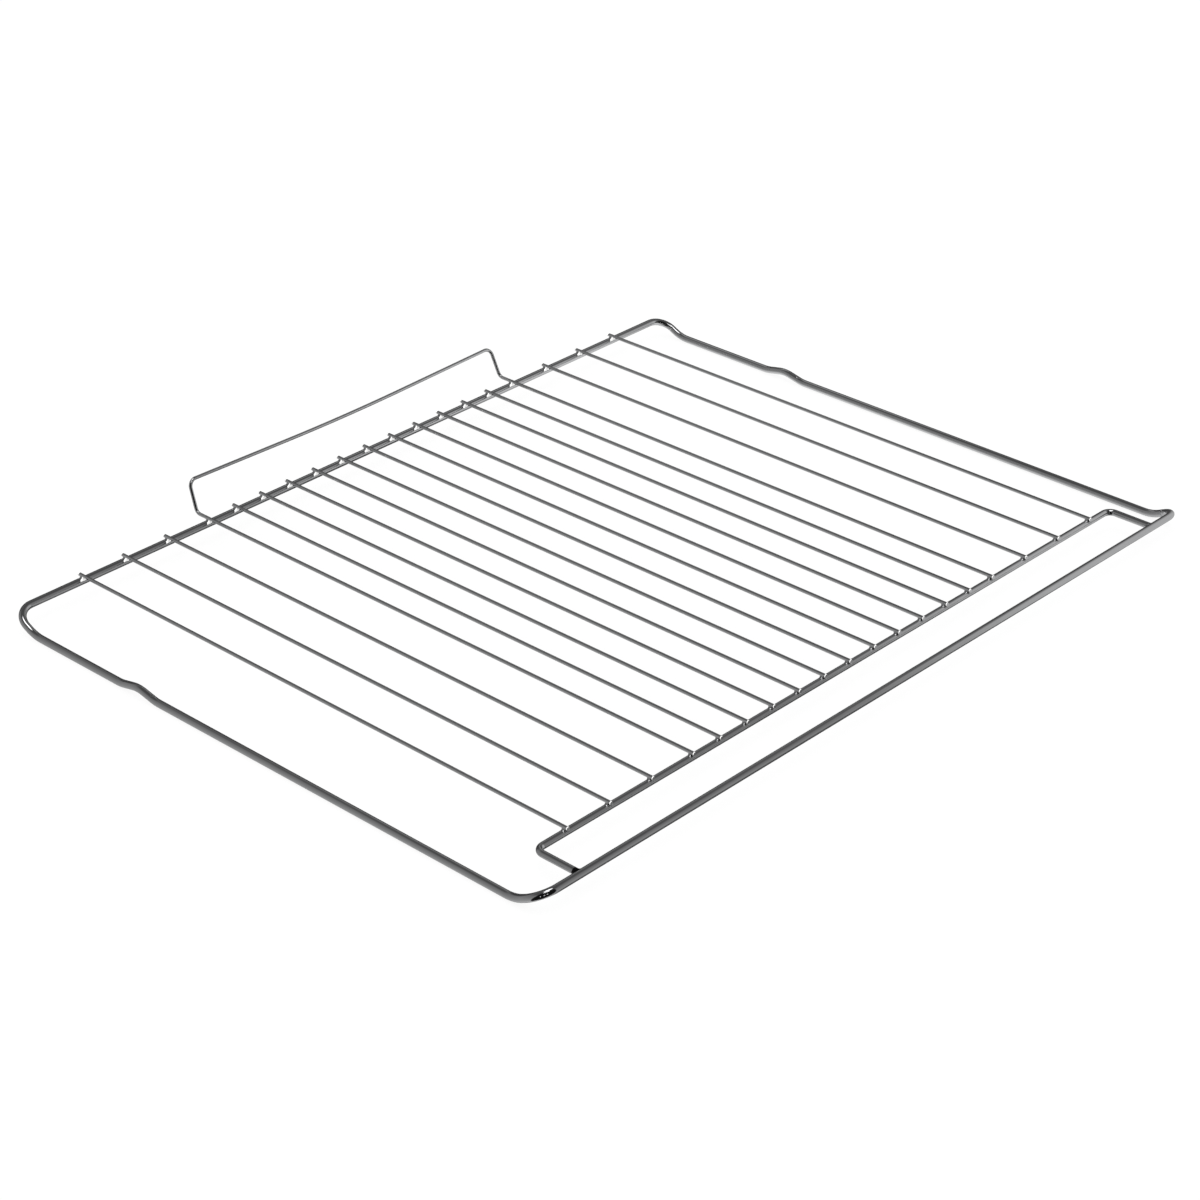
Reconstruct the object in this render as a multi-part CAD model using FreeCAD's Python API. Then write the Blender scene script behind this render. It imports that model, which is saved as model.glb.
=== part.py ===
import FreeCAD, Part
import math
import os

# Welded wire oven shelf rack, in millimetres.
# +X runs along the front bar, +Y to the rear, +Z up. The origin is under the middle of the
# footprint, on the surface that the side rails rest on.

# Frame: one heavy wire bent into a closed rectangle, sizes over the outside of the wire
frame_width = 463.0
frame_depth = 357.0
frame_wire = 3.8
corner_bend = 10.0

# Ramps: each end of a side rail climbs to the front or rear bar
ramp_angle = 26.0
ramp_straight = 1.8
ramp_bend = 22.0

# Stop humps: one shallow wave in each side rail, near the rear
hump_from_rear_bar = 93.0
hump_angle = 12.0
hump_straight = 6.4
hump_foot_bend = 24.0
hump_top_bend = 19.0

# Inner front bar: behind the front bar, its two ends bent forward on to it
inner_bar_wire = 3.4
inner_bar_setback = 26.0
inner_bar_side_inset = 23.5
inner_bar_bend = 4.5
butt_sink = 0.4

# Grid rods: laid across the rear bar and the inner front bar, on top of both
rod_wire = 1.8
grid_side_inset = 18.0
rod_front_overhang = 2.0
rod_rear_overhang = 2.4
middle_gaps = 12
side_gaps = 3

# Rear guard: its legs lie in the grid, between the middle gaps and the side gaps
guard_width = 216.0
guard_overhang = 2.6
guard_lean = 21.0
guard_pinch = 1.2
guard_foot_bend = 9.0
guard_leg_straight = 6.3
guard_corner_bend = 4.4
guard_dip = 2.7
guard_dip_length = 82.0


def rounded_path(corners, bends):
    """A path of straight runs through the corners, with an arc of the given radius at each inner one."""
    points = [FreeCAD.Vector(*corner) for corner in corners]
    edges = []
    start = points[0]
    for before, corner, after, bend in zip(points, points[1:], points[2:], bends):
        back = (before - corner).normalize()
        ahead = (after - corner).normalize()
        half_turn = (math.pi - back.getAngle(ahead)) / 2
        trim = bend * math.tan(half_turn)
        inward = (back + ahead).normalize()
        middle = corner + inward * (bend / math.cos(half_turn) - bend)
        arc_start = corner + back * trim
        arc_end = corner + ahead * trim
        edges.append(Part.LineSegment(start, arc_start).toShape())
        edges.append(Part.Arc(arc_start, middle, arc_end).toShape())
        start = arc_end
    edges.append(Part.LineSegment(start, points[-1]).toShape())
    return Part.Wire(edges)


def bent_wire(corners, bends, diameter):
    """A round wire of the given diameter, bent along the rounded path."""
    path = rounded_path(corners, bends)
    start = FreeCAD.Vector(*corners[0])
    direction = FreeCAD.Vector(*corners[1]) - start
    section = Part.Wire([Part.Circle(start, direction, diameter / 2).toShape()])
    return path.makePipeShell([section], True, False)


def slope_length(angle, foot_bend, straight, head_trim):
    """Length of a slope from corner to corner: the foot bend's trim, a straight run and the head's trim."""
    return foot_bend * math.tan(math.radians(angle) / 2) + straight + head_trim


# Ramp from a rail up to a bar, measured from corner to corner
ramp_slope = slope_length(ramp_angle, ramp_bend, ramp_straight, corner_bend)
ramp_rise = ramp_slope * math.sin(math.radians(ramp_angle))
ramp_run = ramp_slope * math.cos(math.radians(ramp_angle))

# Hump from its foot to its top; its two slopes are alike
hump_top_trim = hump_top_bend * math.tan(math.radians(hump_angle))
hump_slope = slope_length(hump_angle, hump_foot_bend, hump_straight, hump_top_trim)
hump_rise = hump_slope * math.sin(math.radians(hump_angle))
hump_run = hump_slope * math.cos(math.radians(hump_angle))

# Guard leg from its foot corner to its top corner; it leans back from upright
guard_turn = math.radians(90.0 - guard_lean)
guard_foot_trim = guard_foot_bend * math.tan(guard_turn / 2)
guard_leg = guard_foot_trim + guard_leg_straight + guard_corner_bend
guard_rise = guard_leg * math.sin(guard_turn)
guard_reach = guard_overhang + guard_foot_trim + guard_leg * math.cos(guard_turn)

# Heights of the wires' axes
rail_z = frame_wire / 2
bar_z = rail_z + ramp_rise
rod_z = bar_z + (frame_wire + rod_wire) / 2
inner_bar_z = rod_z - (inner_bar_wire + rod_wire) / 2
guard_top_z = rod_z + guard_rise

# Places of the wires' axes in plan; the footprint runs from the front bar to the guard's top bar
footprint_depth = frame_depth - frame_wire / 2 + guard_reach + rod_wire / 2
front_y = -footprint_depth / 2 + frame_wire / 2
rear_y = front_y + frame_depth - frame_wire
inner_bar_y = front_y + inner_bar_setback
hump_y = rear_y - hump_from_rear_bar
guard_foot_y = rear_y + guard_overhang + guard_foot_trim
guard_top_y = rear_y + guard_reach
rail_x = (frame_width - frame_wire) / 2
return_x = rail_x - inner_bar_side_inset
outer_rod_x = return_x - grid_side_inset
guard_x = guard_width / 2
guard_top_x = guard_x - guard_pinch

# Both ends of every rod and guard leg
rod_front_y = inner_bar_y - rod_front_overhang
rod_rear_y = rear_y + rod_rear_overhang


def outer_frame():
    """Half of the loop, from mid front bar round one side to mid rear bar, and its mirror image."""
    corners = [
        (0, front_y, bar_z),
        (rail_x, front_y, bar_z),
        (rail_x, front_y + ramp_run, rail_z),
        (rail_x, hump_y - hump_run, rail_z),
        (rail_x, hump_y, rail_z + hump_rise),
        (rail_x, hump_y + hump_run, rail_z),
        (rail_x, rear_y - ramp_run, rail_z),
        (rail_x, rear_y, bar_z),
        (0, rear_y, bar_z),
    ]
    bends = [corner_bend, ramp_bend, hump_foot_bend, hump_top_bend, hump_foot_bend, ramp_bend, corner_bend]
    half = bent_wire(corners, bends, frame_wire)
    other_half = half.mirror(FreeCAD.Vector(0, 0, 0), FreeCAD.Vector(1, 0, 0))
    return half.fuse(other_half).removeSplitter()


def inner_front_bar(frame):
    """Bar with two forward returns, their ends cut to sit on the round of the front bar."""
    end_y = front_y + frame_wire / 2 - butt_sink
    corners = [
        (-return_x, end_y, inner_bar_z),
        (-return_x, inner_bar_y, inner_bar_z),
        (return_x, inner_bar_y, inner_bar_z),
        (return_x, end_y, inner_bar_z),
    ]
    bar = bent_wire(corners, [inner_bar_bend, inner_bar_bend], inner_bar_wire)
    return bar.cut(frame)


def rear_guard():
    """Two grid legs that turn up behind the rear bar, and the top bar between them with its soft dip."""
    dip_half_turn = math.atan2(guard_dip, guard_top_x)
    dip_bend = guard_dip_length / 2 / math.tan(dip_half_turn)
    corners = [
        (-guard_x, rod_front_y, rod_z),
        (-guard_x, guard_foot_y, rod_z),
        (-guard_top_x, guard_top_y, guard_top_z),
        (0, guard_top_y, guard_top_z - guard_dip),
        (guard_top_x, guard_top_y, guard_top_z),
        (guard_x, guard_foot_y, rod_z),
        (guard_x, rod_front_y, rod_z),
    ]
    bends = [guard_foot_bend, guard_corner_bend, dip_bend, guard_corner_bend, guard_foot_bend]
    return bent_wire(corners, bends, rod_wire)


def grid_rod(x):
    """Straight rod that lies on the crowns of the inner front bar and the rear bar."""
    start = FreeCAD.Vector(x, rod_front_y, rod_z)
    return Part.makeCylinder(rod_wire / 2, rod_rear_y - rod_front_y, start, FreeCAD.Vector(0, 1, 0))


def rod_places():
    """X of every grid rod, left to right, without the two lines that the guard's legs take."""
    side_pitch = (outer_rod_x - guard_x) / side_gaps
    middle_pitch = guard_width / middle_gaps
    side = [outer_rod_x - side_pitch * step for step in range(side_gaps)]
    middle = [-guard_x + middle_pitch * step for step in range(1, middle_gaps)]
    return [-x for x in side] + middle + side[::-1]


frame_solid = outer_frame()
pieces = {
    "outer_frame": frame_solid,
    "inner_front_bar": inner_front_bar(frame_solid),
    "rear_guard": rear_guard(),
}
for number, rod_x in enumerate(rod_places(), start=1):
    pieces[f"grid_rod_{number:02d}"] = grid_rod(rod_x)

os.makedirs("parts", exist_ok=True)
for name, shape in pieces.items():
    shape.exportStep(f"parts/{name}.step")
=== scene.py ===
import math

import bmesh
import bpy
from mathutils import Matrix, Vector


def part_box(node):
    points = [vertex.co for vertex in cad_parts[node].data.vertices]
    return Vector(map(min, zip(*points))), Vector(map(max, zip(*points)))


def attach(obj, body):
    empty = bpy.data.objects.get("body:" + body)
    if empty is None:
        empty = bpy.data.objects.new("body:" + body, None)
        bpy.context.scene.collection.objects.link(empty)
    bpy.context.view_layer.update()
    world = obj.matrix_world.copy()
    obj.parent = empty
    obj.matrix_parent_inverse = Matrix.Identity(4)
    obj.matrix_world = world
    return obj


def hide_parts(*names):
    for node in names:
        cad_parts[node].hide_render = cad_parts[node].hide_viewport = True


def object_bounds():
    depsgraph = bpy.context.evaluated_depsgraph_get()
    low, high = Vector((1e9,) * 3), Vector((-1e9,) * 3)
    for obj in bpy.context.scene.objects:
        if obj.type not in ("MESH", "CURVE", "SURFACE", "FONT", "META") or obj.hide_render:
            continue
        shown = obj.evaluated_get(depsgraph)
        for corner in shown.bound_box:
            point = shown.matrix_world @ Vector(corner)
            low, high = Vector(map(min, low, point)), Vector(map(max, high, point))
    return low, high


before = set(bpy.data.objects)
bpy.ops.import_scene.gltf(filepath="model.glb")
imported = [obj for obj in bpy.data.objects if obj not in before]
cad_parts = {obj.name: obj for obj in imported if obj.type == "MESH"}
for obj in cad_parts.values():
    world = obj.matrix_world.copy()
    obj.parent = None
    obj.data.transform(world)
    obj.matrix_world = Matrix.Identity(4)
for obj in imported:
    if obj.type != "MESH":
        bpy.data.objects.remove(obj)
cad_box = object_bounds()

# Outer frame
# One heavy steel wire, bent into a closed loop: the side rails lie low in the oven's runners, ramp up to the
# front and rear bars and have a shallow stop hump each, where the bending pin left its marks.
# The whole rack is chrome plated, over the faint lines that the wire die left.
frame_wire = 0.0038
frame_width = 0.463
frame_depth = 0.357
corner_bend = 0.010
ramp_angle = math.radians(26.0)
ramp_straight = 0.0018
ramp_bend = 0.022
hump_from_rear_bar = 0.093
hump_angle = math.radians(12.0)
hump_straight = 0.0064
hump_foot_bend = 0.024
hump_top_bend = 0.019
pin_mark_half_length = 0.0009
pin_mark_half_width = 0.0013
pin_mark_depth = 0.00016
steps_per_run = 14
sides_of_heavy_wire = 56
plate_dark = (0.545, 0.55, 0.56, 1.0)
plate_light = (0.635, 0.638, 0.645, 1.0)
plate_roughness = (0.05, 0.12)
cloud_scale = 90.0
cloud_detail = 4.0
die_line_scale = 5.0
die_line_detail = 3.0
die_line_stretch = 60.0
die_line_height = 0.00001
weld_ripple_scale = 450.0
# Where a wire's width lies within the rim spread of the rim share, at the rims of sheared ends, it is painted
# pale matt white: a painted highlight for the bright ring that the rounded plate mirrors.
rim_share = 0.70
rim_spread = 0.285
painted_highlight_tint = (0.96, 0.96, 0.95, 1.0)
painted_highlight_roughness = 0.5
painted_highlight_metallic = 0.0
# Near black, painted shade for the dark crevice of the left butt joint, on that end of the inner front bar
# and on its webs.
painted_shade_tint = (0.02, 0.02, 0.021, 1.0)
painted_shade_roughness = 0.35
painted_shade_edge = (0.9, 1.1)


def add_node(tree, kind, given=None, **settings):
    """A new node of the tree with its settings. Each given input is a socket to link or a value to set."""
    node = tree.nodes.new(kind)
    for key, value in settings.items():
        setattr(node, key, value)
    for name, value in (given or {}).items():
        if isinstance(value, bpy.types.NodeSocket):
            tree.links.new(value, node.inputs[name])
        else:
            node.inputs[name].default_value = value
    return node


def covered(tree, kind, share, under, over):
    """Socket that goes from the socket under to the value over as the share goes from 0 to 1."""
    mix = add_node(tree, "ShaderNodeMix", {"Factor": share, "A": under, "B": over}, data_type=kind)
    return mix.outputs["Result"]


def die_lines(tree):
    """Vector socket that changes fast round the wire and slowly along it, so that noise on it draws lines."""
    along = add_node(tree, "ShaderNodeAttribute", attribute_name="along").outputs["Fac"]
    section = add_node(tree, "ShaderNodeAttribute", attribute_name="section").outputs["Vector"]
    stretch = add_node(tree, "ShaderNodeMath", {0: along, 1: die_line_stretch}, operation="MULTIPLY")
    rise = add_node(tree, "ShaderNodeCombineXYZ", {"Z": stretch.outputs["Value"]})
    run = add_node(tree, "ShaderNodeVectorMath", {0: section, 1: rise.outputs["Vector"]}, operation="ADD")
    return run.outputs["Vector"]


def chrome_plate(name, along_wires, brightness=1.0):
    """Bright plate with a cloudy tint, painted pale matt white as a painted highlight or near black as
    painted shade where the mesh says so.

    On a wire it has die lines, and on a weld a fine ripple.
    """
    material = bpy.data.materials.new(name)
    material.use_nodes = True
    tree = material.node_tree
    place = add_node(tree, "ShaderNodeTexCoord").outputs["Object"]
    cloud = add_node(tree, "ShaderNodeTexNoise", {
        "Vector": place,
        "Scale": cloud_scale,
        "Detail": cloud_detail,
    }).outputs["Fac"]
    lines = add_node(tree, "ShaderNodeTexNoise", {
        "Vector": die_lines(tree) if along_wires else place,
        "Scale": die_line_scale if along_wires else weld_ripple_scale,
        "Detail": die_line_detail,
    }).outputs["Fac"]

    # The pale matt white is a painted highlight, and the near black is painted shade.
    frosted = add_node(tree, "ShaderNodeAttribute", attribute_name="frosted").outputs["Fac"]
    painted_shade_share = add_node(tree, "ShaderNodeAttribute", attribute_name="scaled").outputs["Fac"]
    uneven = add_node(tree, "ShaderNodeMath", {0: painted_shade_share, 1: cloud}, operation="ADD")
    scaled = add_node(tree, "ShaderNodeMapRange", {
        "Value": uneven.outputs["Value"],
        "From Min": painted_shade_edge[0],
        "From Max": painted_shade_edge[1],
    }, interpolation_type="SMOOTHSTEP").outputs["Result"]

    # The brightness gives a lighter copy of the plate, which is painted light.
    tint = add_node(tree, "ShaderNodeMix", {
        "Factor": cloud,
        "A": [channel * brightness for channel in plate_dark],
        "B": [channel * brightness for channel in plate_light],
    }, data_type="RGBA").outputs["Result"]
    shine = add_node(tree, "ShaderNodeMapRange", {
        "Value": lines,
        "To Min": plate_roughness[0],
        "To Max": plate_roughness[1],
    }).outputs["Result"]
    metal = add_node(tree, "ShaderNodeMapRange", {"Value": frosted, "To Min": 1.0, "To Max": painted_highlight_metallic})
    bump = add_node(tree, "ShaderNodeBump", {"Height": lines, "Distance": die_line_height})
    tint_with_painted_highlight = covered(tree, "RGBA", frosted, tint, painted_highlight_tint)
    matt = covered(tree, "FLOAT", frosted, shine, painted_highlight_roughness)
    finish = {
        "Base Color": covered(tree, "RGBA", scaled, tint_with_painted_highlight, painted_shade_tint),
        "Roughness": covered(tree, "FLOAT", scaled, matt, painted_shade_roughness),
        "Metallic": metal.outputs["Result"],
        "Normal": bump.outputs["Normal"],
    }
    shader = tree.nodes["Principled BSDF"]
    for input_name, source in finish.items():
        tree.links.new(source, shader.inputs[input_name])
    return material


def straight_stop(place, width):
    """A point of a straight run, where the wire has this share of its full width."""
    return place, place, place, width


def bent_path(name, corners, bends, steps, closed=False, end_profile=()):
    """A curve of straight runs through the corners, with an arc of the given radius at each bent one.

    The end profile lists how deep from an open end the wire has which share of its full width.
    """
    points = [Vector(corner) for corner in corners]
    count = len(points)
    stops = []
    if not closed:
        ahead = (points[1] - points[0]).normalized()
        stops += [straight_stop(points[0] + ahead * depth, width) for depth, width in end_profile]
    bent = range(count) if closed else range(1, count - 1)
    for index, bend in zip(bent, bends):
        corner = points[index]
        back = (points[index - 1] - corner).normalized()
        ahead = (points[(index + 1) % count] - corner).normalized()
        turn = math.pi - back.angle(ahead)
        trim = bend * math.tan(turn / 2)
        # Handles of this reach make a cubic curve follow the arc
        reach = bend * math.tan(turn / 4) * 4 / 3
        first = corner + back * trim
        last = corner + ahead * trim
        stops.append((first, first, first - back * reach, 1.0))
        stops.append((last, last - ahead * reach, last, 1.0))
    if not closed:
        back = (points[-2] - points[-1]).normalized()
        stops += [straight_stop(points[-1] + back * depth, width) for depth, width in reversed(end_profile)]
    curve = bpy.data.curves.new(name, "CURVE")
    curve.dimensions = "3D"
    spline = curve.splines.new("BEZIER")
    spline.bezier_points.add(len(stops) - 1)
    spline.resolution_u = steps
    spline.use_cyclic_u = closed
    for bezier_point, (place, left, right, width) in zip(spline.bezier_points, stops):
        bezier_point.handle_left_type = "FREE"
        bezier_point.handle_right_type = "FREE"
        bezier_point.co = place
        bezier_point.handle_left = left
        bezier_point.handle_right = right
        bezier_point.radius = width
    return curve


def new_tree(name, inputs):
    """An empty tree that takes and gives geometry, with the named inputs, and its input sockets."""
    tree = bpy.data.node_groups.new(name, "GeometryNodeTree")
    tree.interface.new_socket("Geometry", in_out="INPUT", socket_type="NodeSocketGeometry")
    for input_name, kind in inputs.items():
        tree.interface.new_socket(input_name, in_out="INPUT", socket_type="NodeSocket" + kind)
    tree.interface.new_socket("Geometry", in_out="OUTPUT", socket_type="NodeSocketGeometry")
    return tree, add_node(tree, "NodeGroupInput").outputs


def finished_tree(tree, geometry, material):
    """The tree with its end: instances made real, and the material on them."""
    real = add_node(tree, "GeometryNodeRealizeInstances", {"Geometry": geometry}).outputs["Geometry"]
    plated = add_node(tree, "GeometryNodeSetMaterial", {"Geometry": real, "Material": material})
    add_node(tree, "NodeGroupOutput", {"Geometry": plated.outputs["Geometry"]})
    return tree


def stored(tree, geometry, name, value, kind="FLOAT"):
    """Geometry socket whose points keep the value under the given name."""
    given = {"Geometry": geometry, "Name": name, "Value": value}
    return add_node(tree, "GeometryNodeStoreNamedAttribute", given, data_type=kind).outputs["Geometry"]


def drawn_wire_tree():
    """Sweeps a round section along a path and marks where the wire gets a painted highlight or painted shade.

    It keeps the length along the wire and the place in the section, which the die lines follow.
    """
    tree, given = new_tree("drawn_wire", {
        "Diameter": "Float",
        "Sides": "Int",
        "Painted Shade Start": "Float",
        "Material": "Material",
    })
    length = add_node(tree, "GeometryNodeSplineParameter").outputs["Length"]
    width = add_node(tree, "GeometryNodeInputRadius").outputs["Radius"]
    # The rims of sheared ends get the painted highlight, and the wire before the given start gets painted
    # shade.
    rim = add_node(tree, "ShaderNodeMath", {0: width, 1: rim_share, 2: rim_spread}, operation="COMPARE")
    painted_shade_mask = add_node(tree, "ShaderNodeMath", {0: length, 1: given["Painted Shade Start"]}, operation="LESS_THAN")
    path = stored(tree, given["Geometry"], "along", length)
    path = stored(tree, path, "frosted", rim.outputs["Value"])
    path = stored(tree, path, "scaled", painted_shade_mask.outputs["Value"])

    radius = add_node(tree, "ShaderNodeMath", {0: given["Diameter"], 1: 2.0}, operation="DIVIDE")
    circle = add_node(tree, "GeometryNodeCurvePrimitiveCircle", {
        "Resolution": given["Sides"],
        "Radius": radius.outputs["Value"],
    })
    place = add_node(tree, "GeometryNodeInputPosition").outputs["Position"]
    unit = add_node(tree, "ShaderNodeVectorMath", {0: place}, operation="NORMALIZE").outputs["Vector"]
    section = stored(tree, circle.outputs["Curve"], "section", unit, "FLOAT_VECTOR")

    sweep = add_node(tree, "GeometryNodeCurveToMesh", {
        "Curve": path,
        "Profile Curve": section,
        "Fill Caps": True,
    })
    smooth = add_node(tree, "GeometryNodeSetShadeSmooth", {"Geometry": sweep.outputs["Mesh"]})
    return finished_tree(tree, smooth.outputs["Geometry"], given["Material"])


def made_by_nodes(name, source, tree, values):
    """A plain mesh piece, made by the tree from a curve or mesh and from the values of its named inputs."""
    maker = bpy.data.objects.new(name + "_maker", source)
    bpy.context.scene.collection.objects.link(maker)
    modifier = maker.modifiers.new("make", "NODES")
    modifier.node_group = tree
    for socket in tree.interface.items_tree:
        if socket.in_out == "INPUT" and socket.name in values:
            modifier[socket.identifier] = values[socket.name]
    graph = bpy.context.evaluated_depsgraph_get()
    mesh = bpy.data.meshes.new_from_object(maker.evaluated_get(graph), depsgraph=graph)
    mesh.name = name
    bpy.data.objects.remove(maker)
    piece = bpy.data.objects.new(name, mesh)
    bpy.context.scene.collection.objects.link(piece)
    return piece


def stands_for(piece, *nodes):
    """The piece takes the place of these solids and moves with the rack's one body."""
    if nodes:
        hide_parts(*nodes)
    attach(piece, "root")


wire_plate = chrome_plate("chrome_plate_on_drawn_wire", along_wires=True)
drawn_wire = drawn_wire_tree()

ramp_slope = ramp_bend * math.tan(ramp_angle / 2) + ramp_straight + corner_bend
ramp_rise = ramp_slope * math.sin(ramp_angle)
ramp_run = ramp_slope * math.cos(ramp_angle)
hump_foot_trim = hump_foot_bend * math.tan(hump_angle / 2)
hump_slope = hump_foot_trim + hump_straight + hump_top_bend * math.tan(hump_angle)
hump_rise = hump_slope * math.sin(hump_angle)
hump_run = hump_slope * math.cos(hump_angle)

front_y = cad_box[0].y + frame_wire / 2
rear_y = front_y + frame_depth - frame_wire
rail_x = (frame_width - frame_wire) / 2
rail_z = frame_wire / 2
bar_z = rail_z + ramp_rise
hump_y = rear_y - hump_from_rear_bar

right_side = [
    (rail_x, front_y, bar_z),
    (rail_x, front_y + ramp_run, rail_z),
    (rail_x, hump_y - hump_run, rail_z),
    (rail_x, hump_y, rail_z + hump_rise),
    (rail_x, hump_y + hump_run, rail_z),
    (rail_x, rear_y - ramp_run, rail_z),
    (rail_x, rear_y, bar_z),
]
side_bends = [corner_bend, ramp_bend, hump_foot_bend, hump_top_bend, hump_foot_bend, ramp_bend, corner_bend]
left_side = [(-x, y, z) for x, y, z in reversed(right_side)]
frame_path = bent_path("outer_frame_path", right_side + left_side, side_bends * 2, steps_per_run, closed=True)
outer_frame = made_by_nodes("outer_frame_wire", frame_path, drawn_wire, {
    "Diameter": frame_wire,
    "Sides": sides_of_heavy_wire,
    "Material": wire_plate,
})

# The pin's marks are shallow hollows on top of the wire, where each slope of a hump begins
mark_from_hump = hump_run - hump_foot_trim * math.cos(hump_angle)
mark_z = rail_z + hump_foot_trim * math.sin(hump_angle)
for point in outer_frame.data.vertices:
    along = (abs(point.co.y - hump_y) - mark_from_hump) / pin_mark_half_length
    across = (abs(point.co.x) - rail_x) / pin_mark_half_width
    if abs(along) < 1 and abs(across) < 1 and point.co.z > mark_z:
        point.co.z -= pin_mark_depth * (1 - along ** 2) ** 2 * (1 - across ** 2) ** 2
stands_for(outer_frame, "outer_frame")

# Inner front bar
# A slightly thinner wire behind the front bar, both ends bent forward and butt welded to the front bar.
# It carries the front ends of the rods and leaves a gap for gloved fingers. Its ends are narrow noses in the
# joint, and the left one is painted near black: painted shade for the dark crevice of that joint.
inner_low, inner_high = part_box("inner_front_bar")
inner_bar_wire = inner_high.z - inner_low.z
inner_bar_bend = 0.0045
inner_bar_setback = 0.026
butt_sink = 0.0004
nose_share = 0.4
nose_length = 0.00065
shoulder_round = 0.00002
# The painted shade covers the left end of the bar up to the middle of this fade.
painted_shade_length = 0.0015
painted_shade_fade = 0.0005
blunt_end = [
    (0.0, nose_share),
    (nose_length, nose_share),
    (nose_length + shoulder_round, 1.0),
    (painted_shade_length, 1.0),
    (painted_shade_length + painted_shade_fade, 1.0),
]
inner_bar_y = front_y + inner_bar_setback
inner_bar_z = (inner_low.z + inner_high.z) / 2
return_x = inner_high.x - inner_bar_wire / 2
return_end_y = front_y + frame_wire / 2 - butt_sink
inner_corners = [
    (-return_x, return_end_y, inner_bar_z),
    (-return_x, inner_bar_y, inner_bar_z),
    (return_x, inner_bar_y, inner_bar_z),
    (return_x, return_end_y, inner_bar_z),
]
inner_bends = [inner_bar_bend, inner_bar_bend]
inner_path = bent_path(
    "inner_front_bar_path", inner_corners, inner_bends, steps_per_run, end_profile=blunt_end)
inner_bar = made_by_nodes("inner_front_bar_wire", inner_path, drawn_wire, {
    "Diameter": inner_bar_wire,
    "Sides": sides_of_heavy_wire,
    "Painted Shade Start": painted_shade_length + painted_shade_fade / 2,
    "Material": wire_plate,
})
stands_for(inner_bar, "inner_front_bar")

# Grid rods
# Seventeen straight lengths of thin wire, laid on the inner front bar and the rear bar and welded there.
# Each is sheared to length, so its ends are blunt: a rounded rim round a shallow dome. The rim is painted
# pale matt white, a painted highlight for the bright ring that the rounded plate mirrors.
rod_nodes = sorted(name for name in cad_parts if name.startswith("grid_rod_"))
sides_of_thin_wire = 36
# The rods' plate is this much lighter than the heavy wire's: painted light, so that the thin wire looks more
# brightly lit.
thin_wire_painted_lightening = 1.12
rim_round = 0.0005
rim_steps = 6
end_dome = 0.00008
dome_tip_share = 0.02
dome_middle_depth = 0.35
dome_middle_share = 0.6


def sheared_end(wire):
    """Depths from the tip of a sheared wire, each with the share of the full width that it has there."""
    flat = 1.0 - rim_round / (wire / 2)
    profile = [
        (0.0, dome_tip_share),
        (end_dome * dome_middle_depth, flat * dome_middle_share),
        (end_dome, flat),
    ]
    for step in range(1, rim_steps + 1):
        angle = math.pi / 2 * step / rim_steps
        depth = end_dome + rim_round * (1 - math.cos(angle))
        profile.append((depth, flat + (1 - flat) * math.sin(angle)))
    return profile


thin_wire_plate = chrome_plate("chrome_plate_on_thin_wire", along_wires=True, brightness=thin_wire_painted_lightening)
rod_places = []
for rod_node in rod_nodes:
    rod_low, rod_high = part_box(rod_node)
    rod_wire = rod_high.z - rod_low.z
    rod_x = (rod_low.x + rod_high.x) / 2
    rod_z = (rod_low.z + rod_high.z) / 2
    rod_ends = [(rod_x, rod_low.y, rod_z), (rod_x, rod_high.y, rod_z)]
    rod_path = bent_path(rod_node + "_path", rod_ends, [], 1, end_profile=sheared_end(rod_wire))
    rod = made_by_nodes(rod_node + "_wire", rod_path, drawn_wire, {
        "Diameter": rod_wire,
        "Sides": sides_of_thin_wire,
        "Material": thin_wire_plate,
    })
    stands_for(rod, rod_node)
    rod_places.append(rod_x)

# Rear guard
# One thin wire whose two legs lie welded among the rods, turn up behind the rear bar and lean back.
# The top bar between them, which keeps dishes off the oven's rear wall, dips softly in the middle.
guard_low, guard_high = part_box("rear_guard")
guard_foot_setback = 0.008785
guard_foot_bend = 0.0035
guard_leg = 0.016885
guard_lean = math.radians(21.0)
guard_pinch = 0.0012
guard_corner_bend = 0.0044
guard_dip = 0.0027
guard_dip_length = 0.082
guard_x = guard_high.x - rod_wire / 2
guard_top_x = guard_x - guard_pinch
guard_foot_y = rear_y + guard_foot_setback
guard_top_y = guard_foot_y + guard_leg * math.sin(guard_lean)
guard_top_z = rod_z + guard_leg * math.cos(guard_lean)
dip_bend = guard_dip_length / 2 / math.tan(math.atan2(guard_dip, guard_top_x))
guard_corners = [
    (-guard_x, guard_low.y, rod_z),
    (-guard_x, guard_foot_y, rod_z),
    (-guard_top_x, guard_top_y, guard_top_z),
    (0, guard_top_y, guard_top_z - guard_dip),
    (guard_top_x, guard_top_y, guard_top_z),
    (guard_x, guard_foot_y, rod_z),
    (guard_x, guard_low.y, rod_z),
]
guard_bends = [guard_foot_bend, guard_corner_bend, dip_bend, guard_corner_bend, guard_foot_bend]
guard_path = bent_path(
    "rear_guard_path", guard_corners, guard_bends, steps_per_run, end_profile=sheared_end(rod_wire))
guard = made_by_nodes("rear_guard_wire", guard_path, drawn_wire, {
    "Diameter": rod_wire,
    "Sides": sides_of_thin_wire,
    "Material": thin_wire_plate,
})
stands_for(guard, "rear_guard")

# Cross welds
# Each rod and guard leg is resistance welded where it crosses the two bars: the wires are pressed together
# and the squeezed-out steel sets as a smooth hollow web on both sides of the rod. No two are quite alike.
# The rear ones flare towards the front, where they are painted pale matt white: a painted highlight.
rear_weld_fill = 0.0009
rear_weld_flare = (1.2, -2.1)
rear_weld_flatness = 0.5
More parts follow.
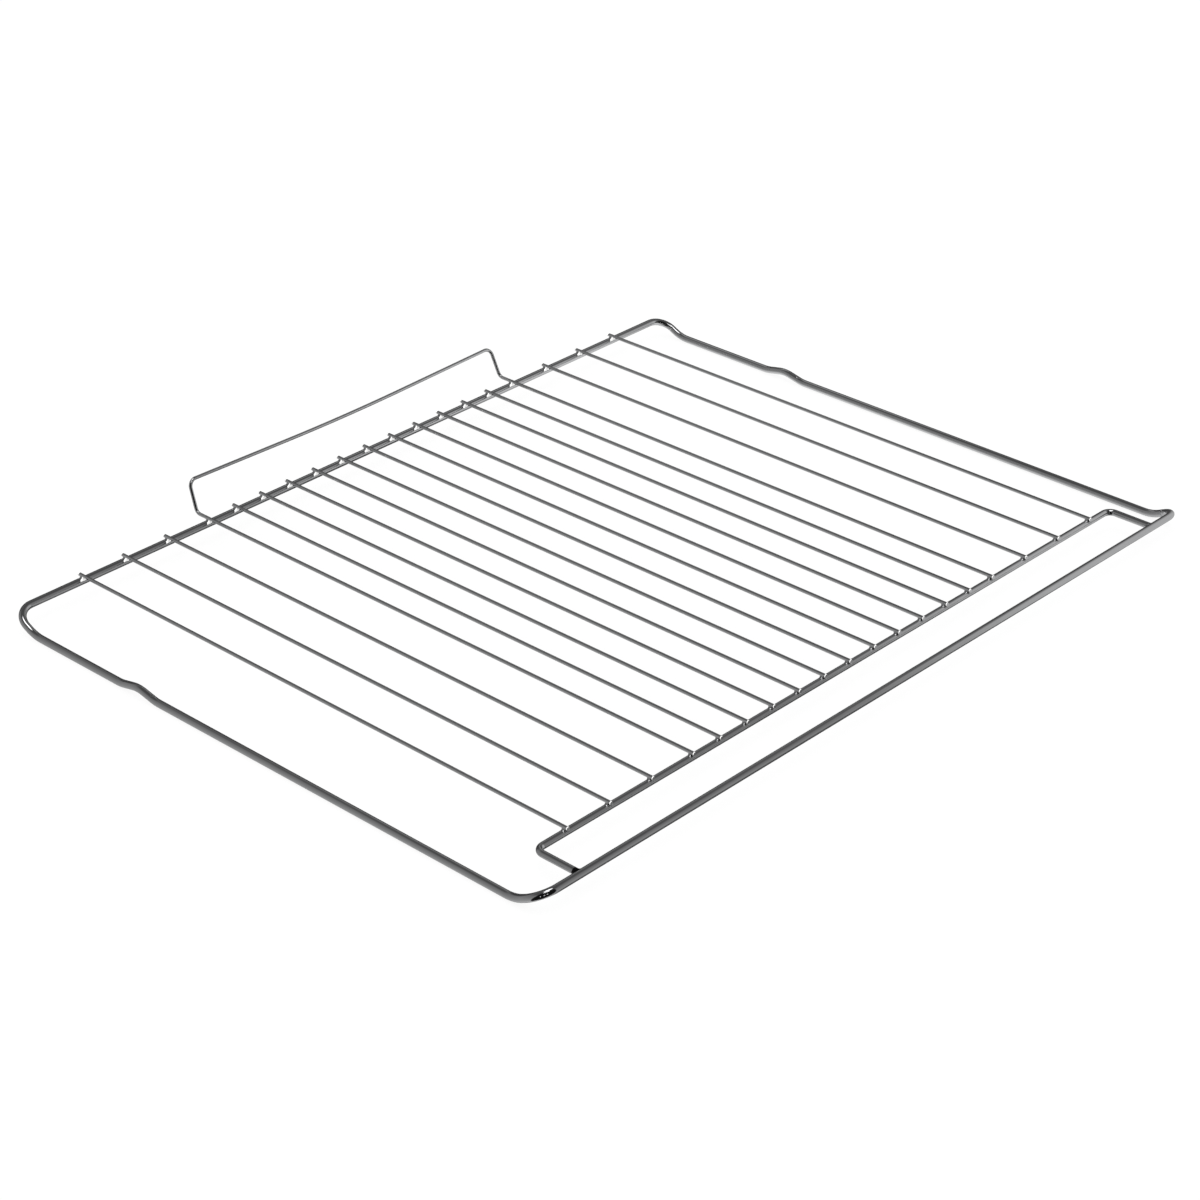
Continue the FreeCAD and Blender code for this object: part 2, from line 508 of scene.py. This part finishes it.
# Ahead of this line the rear webs are painted pale matt white: a painted highlight.
painted_highlight_line = -0.0012
front_weld_fill = 0.00115
front_weld_flare = (-0.65, -0.65)
front_weld_flatness = 0.0
weld_stop = 0.92
weld_sink = 0.0001
weld_lift = 0.000012
weld_sections = 21
weld_steps = 8
weld_turn = math.radians(5.0)
weld_shift = 0.00012
weld_seed = 7


def lofted_web(name, sections, painted_highlight_below=None, scaled=0.0):
    """A smooth closed mesh through sections of equal length, marked where it gets a painted highlight or
    painted shade.
    """
    shape = bmesh.new()
    rings = [[shape.verts.new(corner) for corner in section] for section in sections]
    size = len(rings[0])
    for ring, following in zip(rings, rings[1:]):
        for index in range(size):
            after = (index + 1) % size
            shape.faces.new((ring[index], ring[after], following[after], following[index]))
    shape.faces.new(rings[0])
    shape.faces.new(rings[-1])
    for face in shape.faces:
        face.smooth = True
    bmesh.ops.recalc_face_normals(shape, faces=shape.faces)
    mesh = bpy.data.meshes.new(name)
    shape.to_mesh(mesh)
    shape.free()
    painted_highlight_layer = mesh.attributes.new("frosted", "FLOAT", "POINT")
    painted_shade_layer = mesh.attributes.new("scaled", "FLOAT", "POINT")
    for index, corner in enumerate(mesh.vertices):
        painted_shade_layer.data[index].value = scaled
        if painted_highlight_below is not None and corner.co.y < painted_highlight_below:
            painted_highlight_layer.data[index].value = 1.0
    return mesh


def cross_web(name, bar_wire, weld_fill, flares, flatness, painted_highlight_below=None):
    """The web under a rod along Y, on a bar along X whose axis runs through the origin.

    Its hollow grows by the first flare towards the front and by the second towards the rear.
    """
    bar = bar_wire / 2 + weld_lift
    rod = rod_wire / 2 + weld_lift
    ends = []
    for flare in flares:
        end = bar * weld_stop
        while 2 * weld_fill * (1 + flare * (end / bar) ** 2) < bar - math.sqrt(bar ** 2 - end ** 2):
            end -= weld_lift
        ends.append(end)
    down = 1.5 * math.pi
    sections = []
    for index in range(weld_sections):
        share = -math.cos(math.pi * index / (weld_sections - 1))
        half = 0 if share < 0 else 1
        y = share * ends[half]
        crown = math.sqrt(bar ** 2 - y ** 2)
        fill = weld_fill * (1 + flares[half] * (y / bar) ** 2)
        drop = bar + rod - 2 * weld_lift - crown - fill
        foot = math.sqrt(max((rod + fill) ** 2 - drop ** 2, 0.0))
        stop = math.pi - math.atan2(drop, foot)
        hollow = []
        for step in range(weld_steps + 1):
            angle = down + (stop - down) * step / weld_steps
            hollow.append(Vector((foot + fill * math.cos(angle), crown + fill + fill * math.sin(angle))))
        flat = [hollow[0].lerp(hollow[-1], step / weld_steps) for step in range(weld_steps + 1)]
        side = [tuple(deep.lerp(level, flatness)) for deep, level in zip(hollow, flat)]
        side.insert(0, (foot, crown - weld_sink))
        outline = side + [(-x, z) for x, z in reversed(side)]
        sections.append([(x, y, z) for x, z in outline])
    return lofted_web(name, sections, painted_highlight_below)


def scattered_welds_tree():
    """Sets one weld at each crossing, turned and shifted a little by chance, and gives it the plate."""
    tree, given = new_tree("scattered_welds", {
        "Weld": "Object",
        "Turn": "Float",
        "Shift": "Float",
        "Seed": "Int",
        "Material": "Material",
    })
    pattern = add_node(tree, "GeometryNodeObjectInfo", {"Object": given["Weld"]})
    chance = add_node(tree, "FunctionNodeRandomValue", {
        "Min": (-1.0, -1.0, -1.0),
        "Max": (1.0, 1.0, 1.0),
        "Seed": given["Seed"],
    }, data_type="FLOAT_VECTOR")
    parts = add_node(tree, "ShaderNodeSeparateXYZ", {"Vector": chance.outputs["Value"]}).outputs
    angle = add_node(tree, "ShaderNodeMath", {0: parts["X"], 1: given["Turn"]}, operation="MULTIPLY")
    offset = add_node(tree, "ShaderNodeMath", {0: parts["Y"], 1: given["Shift"]}, operation="MULTIPLY")
    turn = add_node(tree, "ShaderNodeCombineXYZ", {"Z": angle.outputs["Value"]}).outputs["Vector"]
    shift = add_node(tree, "ShaderNodeCombineXYZ", {"X": offset.outputs["Value"]}).outputs["Vector"]
    moved = add_node(tree, "GeometryNodeSetPosition", {"Geometry": given["Geometry"], "Offset": shift})
    placed = add_node(tree, "GeometryNodeInstanceOnPoints", {
        "Points": moved.outputs["Geometry"],
        "Instance": pattern.outputs["Geometry"],
        "Rotation": turn,
    })
    return finished_tree(tree, placed.outputs["Instances"], given["Material"])


def welds_at(name, pattern_mesh, places, turn, shift):
    """One piece of all welds of a kind, set at the given places."""
    pattern = bpy.data.objects.new(name + "_pattern", pattern_mesh)
    bpy.context.scene.collection.objects.link(pattern)
    points = bpy.data.meshes.new(name + "_places")
    points.from_pydata(places, [], [])
    welds = made_by_nodes(name, points, scattered_welds, {
        "Weld": pattern,
        "Turn": turn,
        "Shift": shift,
        "Seed": weld_seed,
        "Material": weld_plate,
    })
    bpy.data.objects.remove(pattern)
    stands_for(welds)


weld_plate = chrome_plate("chrome_plate_on_welds", along_wires=False)
scattered_welds = scattered_welds_tree()
crossing_places = sorted(rod_places + [-guard_x, guard_x])
rear_crossings = [(x, rear_y, bar_z) for x in crossing_places]
front_crossings = [(x, inner_bar_y, inner_bar_z) for x in crossing_places]
rear_web = cross_web("rear_weld", frame_wire, rear_weld_fill, rear_weld_flare, rear_weld_flatness, painted_highlight_line)
front_web = cross_web("front_weld", inner_bar_wire, front_weld_fill, front_weld_flare, front_weld_flatness)
welds_at("rear_welds", rear_web, rear_crossings, weld_turn, weld_shift)
welds_at("front_welds", front_web, front_crossings, weld_turn, weld_shift)

# Butt welds
# The two forward ends of the inner front bar are butt welded to the rear side of the front bar.
# The blunt end leaves a notch on top, and a hollow web of weld steel closes the corner on each side.
# The webs of the left joint are painted near black: painted shade for the dark crevice of that joint.
butt_fill = 0.0016
butt_half_height = 0.0015
butt_stop = 0.97
butt_sections = 13
butt_sink_in = 0.0003


def butt_web(name, side, scaled):
    """The web in one corner between a return along Y, at the origin's X, and the front bar along X."""
    sections = []
    for index in range(butt_sections):
        z = -butt_stop * butt_half_height * math.cos(math.pi * index / (butt_sections - 1))
        fill = butt_fill * (1 - (z / butt_half_height) ** 2)
        flank = math.sqrt((inner_bar_wire / 2) ** 2 - z ** 2) + weld_lift
        face = math.sqrt((frame_wire / 2) ** 2 - (z + inner_bar_z - bar_z) ** 2) + weld_lift
        outline = [(flank - butt_sink_in, face - butt_sink_in), (flank + fill, face - butt_sink_in)]
        for step in range(weld_steps + 1):
            angle = math.pi / 2 * step / weld_steps
            outline.append((flank + fill - fill * math.sin(angle), face + fill - fill * math.cos(angle)))
        outline.append((flank - butt_sink_in, face + fill))
        sections.append([(side * x, y, z) for x, y in outline])
    return lofted_web(name, sections, scaled=scaled)


# Only the webs of the left joint get the painted shade.
for end_name, end_x, scaled in (("left", -return_x, 1.0), ("right", return_x, 0.0)):
    for flank_name, side in (("left", -1), ("right", 1)):
        butt_name = end_name + "_butt_weld_" + flank_name + "_flank"
        butt_mesh = butt_web(butt_name, side, scaled)
        welds_at(butt_name, butt_mesh, [(end_x, front_y, inner_bar_z)], 0.0, 0.0)

# Floor
# A plain white studio floor that runs out of the picture on all sides. It glows by itself, so that it stays
# white round the faint shadows, and the plate doesn't mirror it.
floor_reach = 20.0
floor_grey = 0.08
floor_glow = 0.9
floor_roughness = 0.9
floor_mesh = bpy.data.meshes.new("floor")
floor_corners = [(-floor_reach, -floor_reach), (floor_reach, -floor_reach)]
floor_corners += [(floor_reach, floor_reach), (-floor_reach, floor_reach)]
floor_mesh.from_pydata([(x, y, 0.0) for x, y in floor_corners], [], [(0, 1, 2, 3)])
floor = bpy.data.objects.new("floor", floor_mesh)
bpy.context.scene.collection.objects.link(floor)
floor_paint = bpy.data.materials.new("white_floor")
floor_paint.use_nodes = True
floor_inputs = floor_paint.node_tree.nodes["Principled BSDF"].inputs
floor_inputs["Base Color"].default_value = (floor_grey, floor_grey, floor_grey, 1.0)
floor_inputs["Emission Color"].default_value = (1.0, 1.0, 1.0, 1.0)
floor_inputs["Emission Strength"].default_value = floor_glow
floor_inputs["Roughness"].default_value = floor_roughness
floor_inputs["Specular IOR Level"].default_value = 0.0
floor_mesh.materials.append(floor_paint)
floor.visible_glossy = False

# Studio
# A grey tent as the plate mirrors it, pale low down and dark at the roof, with a small lamp at the very top.
# It is dark at the right rear and low on the right, and black round the camera, with three specks there and a
# slim lamp above. A wide soft sky lights the floor and the pale matt white of the painted highlights, and the
# backdrop is plain white.
sky_angle = math.radians(170.0)
sky_energy = 4.0
backdrop_white = 1.0
# Height of the direction, from -1 straight down to 1 straight up, and grey
tent_heights = [
    (-1.0, 0.62),
    (-0.8, 0.50),
    (-0.58, 0.40),
    (-0.3, 0.37),
    (0.0, 0.32),
    (0.26, 0.28),
    (0.49, 0.25),
    (0.62, 0.22),
    (0.72, 0.15),
    (0.8, 0.10),
    (0.965, 0.09),
    (0.98, 2.6),
]
# Azimuth from +Y towards +X, elevation, width, height and soft edge, in degrees, and brightness
tent_panels = [
    (40.0, 0.0, 90.0, 75.0, 25.0, 0.07),
    (85.0, -40.0, 100.0, 46.0, 12.0, 0.10),
    (-146.0, -9.0, 100.0, 134.0, 4.0, 0.01),
    (-158.0, 2.0, 4.0, 3.0, 1.0, 4.0),
    (-146.0, 0.0, 4.0, 4.0, 1.0, 4.0),
    (-130.0, -3.0, 4.0, 3.0, 1.0, 4.0),
    (-138.0, 64.0, 50.0, 9.0, 3.0, 2.6),
]

sky = bpy.data.lights.new("wide_soft_sky", "SUN")
sky.angle = sky_angle
sky.energy = sky_energy
sky_lamp = bpy.data.objects.new("wide_soft_sky", sky)
sky_lamp.visible_glossy = False
bpy.context.scene.collection.objects.link(sky_lamp)

tent = bpy.data.worlds.new("grey_tent")
bpy.context.scene.world = tent
tent.use_nodes = True
tent_tree = tent.node_tree


def soft_band(angle, middle, width, edge, wraps):
    """Socket that is 1 where the angle is within the band and falls to 0 over its soft edge."""
    away = add_node(tent_tree, "ShaderNodeMath", {0: angle, 1: math.radians(middle)}, operation="SUBTRACT")
    if wraps:
        turns = {0: away.outputs["Value"], 1: math.pi, 2: -math.pi}
        away = add_node(tent_tree, "ShaderNodeMath", turns, operation="WRAP")
    distance = add_node(tent_tree, "ShaderNodeMath", {0: away.outputs["Value"]}, operation="ABSOLUTE")
    band = add_node(tent_tree, "ShaderNodeMapRange", {
        "Value": distance.outputs["Value"],
        "From Min": math.radians((width - edge) / 2),
        "From Max": math.radians((width + edge) / 2),
        "To Min": 1.0,
        "To Max": 0.0,
    }, interpolation_type="SMOOTHSTEP")
    return band.outputs["Result"]


direction = add_node(tent_tree, "ShaderNodeTexCoord").outputs["Generated"]
axes = add_node(tent_tree, "ShaderNodeSeparateXYZ", {"Vector": direction}).outputs
azimuth_node = add_node(tent_tree, "ShaderNodeMath", {0: axes["X"], 1: axes["Y"]}, operation="ARCTAN2")
elevation_node = add_node(tent_tree, "ShaderNodeMath", {0: axes["Z"]}, operation="ARCSINE")
height = add_node(tent_tree, "ShaderNodeMapRange", {"Value": axes["Z"], "From Min": -1.0, "From Max": 1.0})
ramp = add_node(tent_tree, "ShaderNodeValToRGB", {"Fac": height.outputs["Result"]})
ramp_stops = ramp.color_ramp.elements
for place, grey in tent_heights[1:-1]:
    ramp_stops.new((place + 1) / 2)
for stop, (place, grey) in zip(ramp_stops, tent_heights):
    stop.position = (place + 1) / 2
    stop.color = (grey, grey, grey, 1.0)
shade = ramp.outputs["Color"]
for azimuth, elevation, width, tall, edge, brightness in tent_panels:
    across = soft_band(azimuth_node.outputs["Value"], azimuth, width, edge, wraps=True)
    upright = soft_band(elevation_node.outputs["Value"], elevation, tall, edge, wraps=False)
    inside = add_node(tent_tree, "ShaderNodeMath", {0: across, 1: upright}, operation="MULTIPLY")
    shade = covered(tent_tree, "FLOAT", inside.outputs["Value"], shade, brightness)
seen = add_node(tent_tree, "ShaderNodeLightPath").outputs["Is Camera Ray"]
shade = covered(tent_tree, "FLOAT", seen, shade, backdrop_white)
tent_tree.links.new(shade, tent_tree.nodes["Background"].inputs["Color"])

# Glowing cards
# Three soft cards that only the plate mirrors: a tall one at the rack's right front, one above its right rear
# and one below its right side. Each glows in its middle and fades out towards its edges.
side_card_x = 0.5
side_card_outline = [(-0.78, -0.466), (0.06, -0.176), (0.06, 0.672), (-0.78, 0.672)]
side_card_middle = (side_card_x, -0.36, 0.0)
side_card_squeeze = (1.0, 1.0, 0.625)
side_card_fade = (0.42, 0.15)
side_card_glow = 0.62
roof_card_z = 0.5
roof_card_outline = [(0.1, 0.24), (0.9, 0.24), (0.9, 0.72), (0.1, 0.72)]
roof_card_middle = (0.5, 0.48, roof_card_z)
roof_card_squeeze = (0.6, 1.0, 1.0)
roof_card_fade = (0.24, 0.10)
roof_card_glow = 0.36
low_card_z = -0.06
low_card_outline = [(0.07, -0.26), (0.39, -0.26), (0.39, 0.38), (0.07, 0.38)]
low_card_middle = (0.23, 0.06, low_card_z)
low_card_squeeze = (1.0, 0.5, 1.0)
low_card_fade = (0.16, 0.0)
low_card_glow = 0.9


def glowing_card(name, corners, middle, squeeze, fade, glow):
    """A card that goes from clear to full glow between two distances from its middle.

    The squeeze makes those distances oval.
    """
    mesh = bpy.data.meshes.new(name)
    mesh.from_pydata(corners, [], [(0, 1, 2, 3)])
    card = bpy.data.objects.new(name, mesh)
    bpy.context.scene.collection.objects.link(card)
    paint = bpy.data.materials.new(name)
    paint.use_nodes = True
    tree = paint.node_tree
    tree.nodes.remove(tree.nodes["Principled BSDF"])
    place = add_node(tree, "ShaderNodeTexCoord").outputs["Object"]
    from_middle = add_node(tree, "ShaderNodeVectorMath", {0: place, 1: middle}, operation="SUBTRACT")
    offset = from_middle.outputs["Vector"]
    oval = add_node(tree, "ShaderNodeVectorMath", {0: offset, 1: squeeze}, operation="MULTIPLY")
    away = add_node(tree, "ShaderNodeVectorMath", {0: oval.outputs["Vector"]}, operation="LENGTH")
    share = add_node(tree, "ShaderNodeMapRange", {
        "Value": away.outputs["Value"],
        "From Min": fade[0],
        "From Max": fade[1],
    }, interpolation_type="SMOOTHSTEP")
    clear = add_node(tree, "ShaderNodeBsdfTransparent")
    light = add_node(tree, "ShaderNodeEmission", {"Strength": glow})
    mix = add_node(tree, "ShaderNodeMixShader", {
        "Fac": share.outputs["Result"],
        1: clear.outputs["BSDF"],
        2: light.outputs["Emission"],
    })
    tree.links.new(mix.outputs["Shader"], tree.nodes["Material Output"].inputs["Surface"])
    mesh.materials.append(paint)
    card.visible_camera = False
    card.visible_diffuse = False
    card.visible_shadow = False


side_corners = [(side_card_x, y, z) for y, z in side_card_outline]
roof_corners = [(x, y, roof_card_z) for x, y in roof_card_outline]
low_corners = [(x, y, low_card_z) for x, y in low_card_outline]
glowing_card("side_card", side_corners, side_card_middle, side_card_squeeze, side_card_fade, side_card_glow)
glowing_card("roof_card", roof_corners, roof_card_middle, roof_card_squeeze, roof_card_fade, roof_card_glow)
glowing_card("low_card", low_corners, low_card_middle, low_card_squeeze, low_card_fade, low_card_glow)

# Camera
# It looks down over the rack's front left corner, from about a metre and a half away, with a long lens
# and the slight roll that the photograph has.
eye = Vector((-0.96438, -0.92593, 0.73936))
camera_azimuth = math.radians(-46.141)
camera_elevation = math.radians(29.463)
camera_roll = math.radians(0.8)
camera_lens = 92.69
camera_sensor = 36.0
camera_data = bpy.data.cameras.new("camera")
camera_data.lens = camera_lens
camera_data.sensor_width = camera_sensor
camera = bpy.data.objects.new("camera", camera_data)
turned = Matrix.Rotation(camera_azimuth, 4, "Z") @ Matrix.Rotation(math.pi / 2 - camera_elevation, 4, "X")
camera.matrix_world = Matrix.Translation(eye) @ turned @ Matrix.Rotation(-camera_roll, 4, "Z")
bpy.context.scene.collection.objects.link(camera)
bpy.context.scene.camera = camera
bpy.context.scene.view_settings.view_transform = "Standard"
